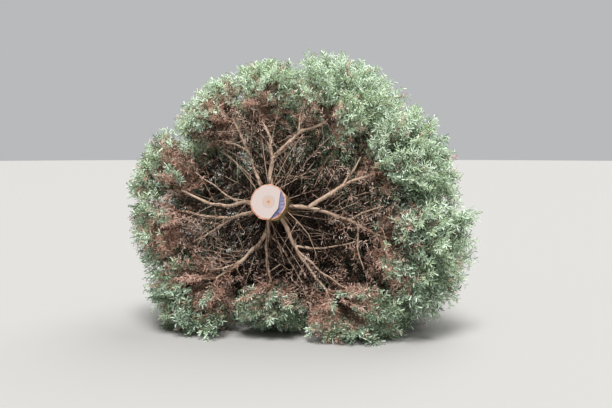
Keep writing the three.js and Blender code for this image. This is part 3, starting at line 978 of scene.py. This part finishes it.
# Named colours of needles and how often each comes.
# The paler mix on the crown's top is painted light; the darker mix low down and inside is painted shade.
LIT_TOP_TINTS = (("silver", 0.56), ("pale_green", 0.38), ("blue_green", 0.06))
LIT_SIDE_TINTS = (("silver", 0.34), ("pale_green", 0.36), ("blue_green", 0.2), ("dark_green", 0.1))
SHADE_TINTS = (("silver", 0.14), ("pale_green", 0.16), ("blue_green", 0.42), ("dark_green", 0.28))
DEAD_TINTS = (("rust", 0.24), ("pink_brown", 0.54), ("dark_brown", 0.22))
DEEP_SHADE_TINTS = (("dark_brown", 0.88), ("rust", 0.12))
LEAST_REACH = 0.01
RIM_FROM = 0.84
BACK_FROM = 0.8
INNER_FULLNESS = 0.8
# Above this height the needles take the painted-light tints, and below the next one the painted-shade tints.
TOP_FROM = 0.5
SHADE_FROM = -0.25


def pick(tints, share):
    for name, part in tints:
        share -= part
        if share < 0:
            return name
    return tints[-1][0]


def dead_share(along, turn):
    """How far out the dead needles go at a place, as a share of the crown's reach."""
    front = float(np.interp(turn % 360, DEAD_TURNS, DEAD_REACH))
    back = float(np.interp(along, DEAD_ALONG, DEAD_BACK_REACH))
    return lerp(front, back, min(1, max(0, (along - DEAD_FRONT) / (DEAD_ALONG[0] - DEAD_FRONT))))


def dry_fullness(inside, dead_reach):
    """Near the trunk most dead needles have fallen; outward they grow thicker."""
    thick = (inside / dead_reach - THIN_UNTIL) / (THICK_FROM - THIN_UNTIL)
    return min(1, max(LEAST_FULLNESS, thick))


def shoot_colour(spray, line, middle):
    """A shoot's colour and fullness by its place: living out at the rim, dead and sparser further in."""
    cell = spray.cell
    along, out, turn = place_of(middle)
    inside = out / max(LEAST_REACH, cell_reach(cell, along, turn))
    dead_reach = dead_share(along, turn)
    fade = DEAD_FADE * (spray.sway(50) + sway(cell.whorl, line, spray.item, 51))
    dead = inside + fade < dead_reach
    stray = 0 if dead else line / 100
    if cell.chance(spray.item + stray, 52) < STRAY_SHARE:
        dead = not dead
    share = chance(cell.whorl, line, spray.item, 53) if line % 2 else cell.chance(spray.item, 54)
    # Dead needles deep in the crown are near black: painted shade.
    if dead and along > PAINTED_SHADE_FROM and inside < DEEP_INSIDE:
        return pick(DEEP_SHADE_TINTS, share), DEEP_FULLNESS
    if dead:
        return pick(DEAD_TINTS, share), DEAD_FULLNESS * dry_fullness(inside, dead_reach)
    # Painted light and shade: paler tints where the crown faces up, darker ones low down and inside.
    height = outward(turn).z
    if height > TOP_FROM:
        return pick(LIT_TOP_TINTS, share), 1.0
    tints = SHADE_TINTS if height < SHADE_FROM or inside < RIM_FROM else LIT_SIDE_TINTS
    return pick(tints, share), INNER_FULLNESS if inside < RIM_FROM or along > BACK_FROM else 1.0


TWIG_RADIUS = 0.0026
SHOOT_RADIUS = 0.0017
TWIG_BEND = 0.05


def sideways(cell, item, use):
    """A chance direction, at most 1 each way."""
    return Vector([cell.sway(item, use + i) for i in (0.1, 0.2, 0.3)])


sprays = [*(spray for cell in cells for spray in grow_sprays(cell)), *fill_sprays()]
for spray in filter(None, sprays):
    bow = sideways(spray.cell, spray.item, 60) * TWIG_BEND * (spray.root - spray.base).length
    reach = [spray.base, spray.base.lerp(spray.root, 0.5) + bow]
    # Twigs of dead sprays further back take the near-black dead colour: painted shade.
    dry_kind = "dry" if place_of(spray.root)[0] < PAINTED_SHADE_FROM else "dead"
    for line, shares in enumerate(spray_twigs(spray)):
        points = [spray.point(*share) for share in shares]
        for a, b in zip(points, points[1:]):
            colour, fullness = shoot_colour(spray, line, (a + b) / 2)
            shoots.append(Shoot(a, b, spray.face, colour, fullness * (1 - OTHER_SIDE_SHARE)))
            other = OTHER_SIDE.get(colour, colour)
            shoots.append(Shoot(a, b, spray.face, other, fullness * OTHER_SIDE_SHARE))
            kind = dry_kind if colour in DRY_COLOURS else "live"
        if line == 0:
            twigs.append(Twig(reach + points, TWIG_RADIUS, kind))
        else:
            twigs.append(Twig(points, SHOOT_RADIUS, kind))

# Dead twigs
# Inside the crown, where no light comes, thin grey-brown twigs cross each other between the boughs, with a
# few dry needles left on them. Some grow on the boughs, and others straight on the trunk.
WEB_START = 0.12
WEB_STEP = 0.012
WEB_STEPS = 10
WEB_TWIG_STEPS = 2
WEB_LENGTH = 0.2
WEB_RADIUS = 0.0015
WEB_BEND = 0.11
WEB_SPREAD = 55
WEB_REACH_SHARE = 0.86
# The share of pale twigs in front, and how far back it falls to none: painted shade deeper in the crown.
PALE_SHARE = 0.4
PALE_DEPTH = 0.45
WEB_FULLNESS = 0.45
WEB_SIDES = 4
# Side twigs in shares of the dead twig that they grow on: from the first to the last one's length, their
# radius, and how far they bend and lean forward.
WEB_SIDE_LENGTHS = (0.62, 0.34)
WEB_SIDE_RADIUS = 0.7
WEB_SIDE_BEND = 0.04
WEB_SIDE_LEAN = 0.5
WEB_LEAN = 0.9
# The shortest and the longest dead twig as shares of the usual length.
WEB_LENGTHS = (0.7, 1.3)
TRUNK_TWIGS = 700
TRUNK_TWIGS_CROWDING = 1.6
TRUNK_TWIGS_FROM = 0.07
TRUNK_TWIGS_TO = 1.1
TRUNK_TWIG_LENGTH = 0.36
TRUNK_TWIG_RADIUS = 0.0017
TRUNK_TWIG_JITTER = 20
TRUNK_TWIG_ROOT = 0.9
TRUNK_TWIG_LEAN = 0.2
TRUNK_TWIG_LEAN_JITTER = 0.35
TRUNK_TWIG_STRAY = 0.6
TRUNK_TWIG_AHEAD = 0.2
WEB_ITEMS = 600
TRUNK_ITEMS = 900
ITEMS_PER_TWIG = 5


def web_kind(cell, item, start):
    """Dead twigs are partly pale and barkless in front, fewer further back; the rest are near black: painted
    shade.
    """
    pale = PALE_SHARE * (1 - place_of(start)[0] / PALE_DEPTH)
    return "pale" if cell.chance(item, 73) < pale else "dead"


def add_web_twig(cell, start, way, length, radius, item):
    """A crooked dead twig with side twigs, some of which still hold needles."""
    end = start + way * length
    middle = start.lerp(end, 0.5) + sideways(cell, item, 70) * length * WEB_BEND
    path = smooth_path([start, middle, end], WEB_TWIG_STEPS)
    twigs.append(Twig(path, radius, web_kind(cell, item, start)))
    for i in range(WEB_SIDES):
        side = sideways(cell, item + i, 74)
        side = (side - way * side.dot(way)).normalized()
        begin = path[1 + i % (len(path) - 2)]
        small = length * lerp(*WEB_SIDE_LENGTHS, i / WEB_SIDES)
        tip = begin + (way * WEB_SIDE_LEAN + side).normalized() * small
        if not fits_crown(cell, tip, WEB_REACH_SHARE):
            continue
        half = begin.lerp(tip, 0.5) + side * small * WEB_SIDE_BEND
        twigs.append(Twig([begin, half, tip], radius * WEB_SIDE_RADIUS, web_kind(cell, item + i, begin)))
        along, out, turn = place_of(tip)
        fullness = WEB_FULLNESS * dry_fullness(out / cell_reach(cell, along, turn), dead_share(along, turn))
        # Dry needles further back take the near-black deep tints: painted shade.
        tints = DEAD_TINTS if along < PAINTED_SHADE_FROM else DEEP_SHADE_TINTS
        shoots.append(Shoot(half, tip, side, pick(tints, cell.chance(item + i, 78)), fullness))


web_paths = [(cells[index], bough_paths["side", number]) for number, (index, *_) in enumerate(SIDE_LIMBS)]
for cell in cells:
    path = bough_paths.get((cell.whorl, cell.index), [])
    web_paths.append((cell, path + straight_path(stem_of(cell), WEB_STEPS)))
for cell, path in web_paths:
    walked = 0
    last = 0
    for number, (before, point) in enumerate(zip(path, path[1:])):
        walked += (point - before).length
        if walked < WEB_START or walked - last < WEB_STEP:
            continue
        last = walked
        item = WEB_ITEMS + number * ITEMS_PER_TWIG
        forward = (point - before).normalized()
        across = forward.cross(ALONG).normalized() * (1 if number % 2 else -1)
        roll = WEB_SPREAD * cell.sway(item, 71)
        across.rotate(Matrix.Rotation(math.radians(roll), 3, forward))
        way = (forward * WEB_LEAN + across).normalized()
        length = WEB_LENGTH * lerp(*WEB_LENGTHS, cell.chance(item, 72))
        if fits_crown(cell, point + way * length, WEB_REACH_SHARE):
            add_web_twig(cell, point, way, length, WEB_RADIUS, item)

for number in range(TRUNK_TWIGS):
    cell = cells[number % len(cells)]
    share = (number / TRUNK_TWIGS) ** TRUNK_TWIGS_CROWDING
    along = lerp(TRUNK_TWIGS_FROM, TRUNK_TWIGS_TO, share)
    turn = number * GOLDEN_TURN + TRUNK_TWIG_JITTER * sway(8, number, 0, 75)
    start = place(along, trunk_radius(along) * TRUNK_TWIG_ROOT, turn)
    lean = TRUNK_TWIG_LEAN + TRUNK_TWIG_LEAN_JITTER * sway(8, number, 0, 76)
    way = (outward(turn) + ALONG * lean + sideways(cell, number, 79) * TRUNK_TWIG_STRAY).normalized()
    length = TRUNK_TWIG_LENGTH * lerp(*WEB_LENGTHS, chance(8, number, 0, 77))
    length *= crown_share(along + TRUNK_TWIG_AHEAD)
    if fits_crown(cell, start + way * length, WEB_REACH_SHARE):
        add_web_twig(cell, start, way, length, TRUNK_TWIG_RADIUS, TRUNK_ITEMS + number * ITEMS_PER_TWIG)

# Dead twigs are near black: painted shade of the crown's inside. Dry and pale twigs are the ones in front.
TWIG_COLOURS = {
    "live": (126, 100, 82),
    "dead": (44, 32, 26),
    "dry": (176, 142, 122),
    "pale": (204, 176, 154),
}
TWIG_END_SHARE = 0.5


def mesh_from_arrays(name, points, faces):
    mesh = bpy.data.meshes.new(name)
    mesh.vertices.add(len(points))
    mesh.vertices.foreach_set("co", points.astype(np.float32).ravel())
    mesh.loops.add(faces.size)
    mesh.loops.foreach_set("vertex_index", faces.astype(np.int32).ravel())
    mesh.polygons.add(len(faces))
    mesh.polygons.foreach_set("loop_start", np.arange(0, faces.size, faces.shape[1], dtype=np.int32))
    mesh.update(calc_edges=True)
    return mesh


def unit(vectors):
    return vectors / np.maximum(np.linalg.norm(vectors, axis=-1, keepdims=True), 1e-9)


def tube_faces(rings):
    """The triangles of one three-sided tube: a flat end, sides from ring to ring, and a point at the end."""
    faces = [(0, 2, 1)]
    for ring in range(rings - 1):
        for corner in range(3):
            a, b = ring * 3 + corner, ring * 3 + (corner + 1) % 3
            faces += [(a, b, b + 3), (a, b + 3, a + 3)]
    last = (rings - 1) * 3
    return faces + [(last + corner, last + (corner + 1) % 3, rings * 3) for corner in range(3)]


def twig_mesh(name, group):
    """Every twig of the group as a tapering three-sided tube, those with as many points built at once."""
    all_points, all_faces, used = [], [], 0
    for count in sorted({len(twig.points) for twig in group}):
        same = [twig for twig in group if len(twig.points) == count]
        path = np.array([[list(point) for point in twig.points] for twig in same])
        radius = np.array([twig.radius for twig in same])[:, None]
        axis = unit(np.gradient(path, axis=1))
        lift = np.where(np.abs(axis[:, :1, 2:3]) < 0.9, [[[0.0, 0, 1]]], [[[1.0, 0, 0]]])
        across = unit(np.cross(axis, lift))
        up = np.cross(axis, across)
        rings = []
        for ring in range(count - 1):
            size = radius * lerp(1, TWIG_END_SHARE, ring / (count - 1))
            for corner in range(3):
                turn = 2 * math.pi * corner / 3
                side = across[:, ring] * math.cos(turn) + up[:, ring] * math.sin(turn)
                rings.append(path[:, ring] + side * size)
        rings.append(path[:, -1])
        points = np.stack(rings, axis=1)
        one = np.array(tube_faces(count - 1))
        faces = used + np.arange(len(same))[:, None, None] * points.shape[1] + one
        all_points.append(points.reshape(-1, 3))
        all_faces.append(faces.reshape(-1, 3))
        used += len(same) * points.shape[1]
    points = np.concatenate(all_points)
    points[:, 2] = np.maximum(points[:, 2], GROUND_CLEARANCE)
    return mesh_from_arrays(name, points, np.concatenate(all_faces))


for kind, colour in TWIG_COLOURS.items():
    mesh = twig_mesh(f"twigs_{kind}", [twig for twig in twigs if twig.kind == kind])
    material = new_material(f"twigs_{kind}", srgb(*colour), roughness=0.85)
    add_piece(f"twigs_{kind}", mesh, [material], foliage_nodes)

# Needles
# Flat blunt needles all round each shoot, crowded on its upper side and leaning forward. Living ones have
# a pale waxy bloom over blue-green, and dead ones are rusty to dark brown, the near black of the darkest
# being painted shade. One piece for each colour.
NEEDLE_LENGTH = 0.0235
NEEDLE_WIDTH = 0.0042
DRY_LENGTH = 0.02
DRY_WIDTH = 0.0024
NEEDLES_PER_METRE = 420
# Needles turn round the shoot by the golden turn, but leave its lower side free.
TURN_JITTER = 40
TURN_COVERED = 0.74
# How far needles lean away from the shoot, at its root and at its tip.
NEEDLE_LEAN = (68, 44)
LEAN_JITTER = 18
NEEDLE_TWIST = 140
SHORTEST_NEEDLE = 0.65
ROOT_WIDTH_SHARE = 0.7
ROOT_OFF_SHOOT = 0.001
NEEDLE_COLOURS = {
    "silver": (224, 242, 222),
    "pale_green": (188, 210, 168),
    "blue_green": (144, 168, 140),
    "dark_green": (88, 106, 78),
    "rust": (190, 144, 122),
    "pink_brown": (230, 198, 182),
    # Dark brown is near black: it stands mostly for painted shade deep in the crown.
    "dark_brown": (40, 29, 24),
}
random = np.random.default_rng(7)


def needle_mesh(name, group, longest, width):
    """All needles of a group of shoots, each a flat strip with four corners."""
    starts = np.array([shoot.start for shoot in group])
    ends = np.array([shoot.end for shoot in group])
    faces_up = np.array([shoot.face for shoot in group])
    fullness = np.array([shoot.fullness for shoot in group])
    spans = np.linalg.norm(ends - starts, axis=1)
    counts = np.maximum(1, np.round(spans * NEEDLES_PER_METRE * fullness)).astype(int)
    of_shoot = np.repeat(np.arange(len(group)), counts)
    first = np.repeat(np.cumsum(counts) - counts, counts)
    number = np.arange(counts.sum()) - first
    chances = random.random((len(number), 6))
    axis = unit(ends - starts)[of_shoot]
    face = faces_up[of_shoot]
    up = unit(face - axis * (face * axis).sum(1, keepdims=True))
    right = np.cross(axis, up)
    share = (number + chances[:, 0]) / counts[of_shoot]
    turn = (number * GOLDEN_TURN + TURN_JITTER * chances[:, 1]) % 360 - 180
    turn = np.radians(turn * TURN_COVERED)[:, None]
    lean = np.radians(lerp(*NEEDLE_LEAN, share**2) + LEAN_JITTER * (chances[:, 2] - 0.5))[:, None]
    away = up * np.cos(turn) + right * np.sin(turn)
    direction = axis * np.cos(lean) + away * np.sin(lean)
    wide = np.cross(axis, away)
    twist = np.radians(NEEDLE_TWIST * (chances[:, 3] - 0.5))[:, None]
    wide = wide * np.cos(twist) + np.cross(direction, wide) * np.sin(twist)
    length = (longest * lerp(SHORTEST_NEEDLE, 1, chances[:, 4]))[:, None]
    root = starts[of_shoot] + axis * (share * spans[of_shoot])[:, None] + away * ROOT_OFF_SHOOT
    tip = root + direction * length
    edge = wide * (width / 2)
    corners = [root - edge * ROOT_WIDTH_SHARE, root + edge * ROOT_WIDTH_SHARE, tip + edge, tip - edge]
    points = np.stack(corners, axis=1).reshape(-1, 3)
    points[:, 2] = np.maximum(points[:, 2], GROUND_CLEARANCE)
    faces = np.arange(len(points)).reshape(-1, 4)
    return mesh_from_arrays(name, points, faces)


# The youngest growth at the trunk's own tip.
LEADER_FROM = 1.75
LEADER_SHOOTS = 8
LEADER_FULLNESS = 2.2
for i in range(LEADER_SHOOTS):
    ends = [lerp(LEADER_FROM, TREE_LENGTH, (i + step) / LEADER_SHOOTS) for step in (0, 1)]
    a, b = (place(along, 0, 0) for along in ends)
    for face in (UPPER, -UPPER):
        shoots.append(Shoot(a, b, face, "pale_green", LEADER_FULLNESS))

# A colour with more needles than this is shared out over several pieces.
NEEDLES_PER_PIECE = 90000
for name, colour in NEEDLE_COLOURS.items():
    group = [shoot for shoot in shoots if shoot.colour == name]
    material = new_material(f"needles_{name}", srgb(*colour), roughness=0.55)
    amount = sum((shoot.end - shoot.start).length * shoot.fullness for shoot in group) * NEEDLES_PER_METRE
    parts = math.ceil(amount / NEEDLES_PER_PIECE)
    size = (DRY_LENGTH, DRY_WIDTH) if name in DRY_COLOURS else (NEEDLE_LENGTH, NEEDLE_WIDTH)
    for part in range(parts):
        part_name = f"needles_{name}" if parts == 1 else f"needles_{name}_{part + 1}"
        mesh = needle_mesh(part_name, group[part::parts], *size)
        add_piece(part_name, mesh, [material], foliage_nodes)

# Floor, light and camera
# A plain pale floor under soft studio light, seen as the photograph sees the tree: from in front of the
# cut, a little above it, looking slightly down.
FLOOR_RADIUS = 40
FLOOR_SIDES = 96
FLOOR_COLOUR = (0.42, 0.41, 0.395)
SKY_COLOUR = (0.96, 0.98, 1, 1)
EVEN_LIGHT = 0.28
BACKDROP = 0.5
bm = bmesh.new()
bmesh.ops.create_circle(bm, cap_ends=True, segments=FLOOR_SIDES, radius=FLOOR_RADIUS)
floor = add_object("floor", finished_mesh(bm, "floor"))
floor.data.materials.append(new_material("floor", FLOOR_COLOUR, roughness=0.95))

world = bpy.data.worlds.new("studio")
world.use_nodes = True
studio = world.node_tree
even_light, backdrop = (
    add_node(studio, "Background", "Background", {"Color": SKY_COLOUR, "Strength": strength})
    for strength in (EVEN_LIGHT, BACKDROP)
)
seen = add_node(studio, "LightPath", "Is Camera Ray", {})
either = add_node(studio, "MixShader", "Shader", {"Fac": seen, 1: even_light, 2: backdrop})
set_inputs(studio, studio.nodes["World Output"], {"Surface": either})
bpy.context.scene.world = world


def add_sky_light(name, at, softness, strength):
    """Even soft light from one side, as wide as the angle of its softness."""
    light = bpy.data.lights.new(name, "SUN")
    light.angle = math.radians(softness)
    light.energy = strength
    stand = add_object(name, light)
    stand.location = at
    stand.rotation_euler = (-Vector(at)).to_track_quat("-Z", "Y").to_euler()


add_sky_light("key", (0.2, -2.0, 4.6), softness=25, strength=4.0)
add_sky_light("back", (1.5, 3.0, 5.0), softness=50, strength=1.6)

IMAGE_WIDTH = 612
FOCAL_PIXELS = 765
CAMERA_FROM_CUT = Vector((0.7085, -3.1054, 0.2364))
CAMERA_YAW = 10
CAMERA_PITCH = 4.4
camera_data = bpy.data.cameras.new("camera")
camera_data.sensor_width = 36
camera_data.lens = camera_data.sensor_width * FOCAL_PIXELS / IMAGE_WIDTH
camera = add_object("camera", camera_data)
camera.location = CUT_CENTRE + CAMERA_FROM_CUT
camera.rotation_euler = (math.radians(90 - CAMERA_PITCH), 0, math.radians(CAMERA_YAW))
bpy.context.scene.camera = camera
bpy.context.scene.view_settings.view_transform = "Standard"
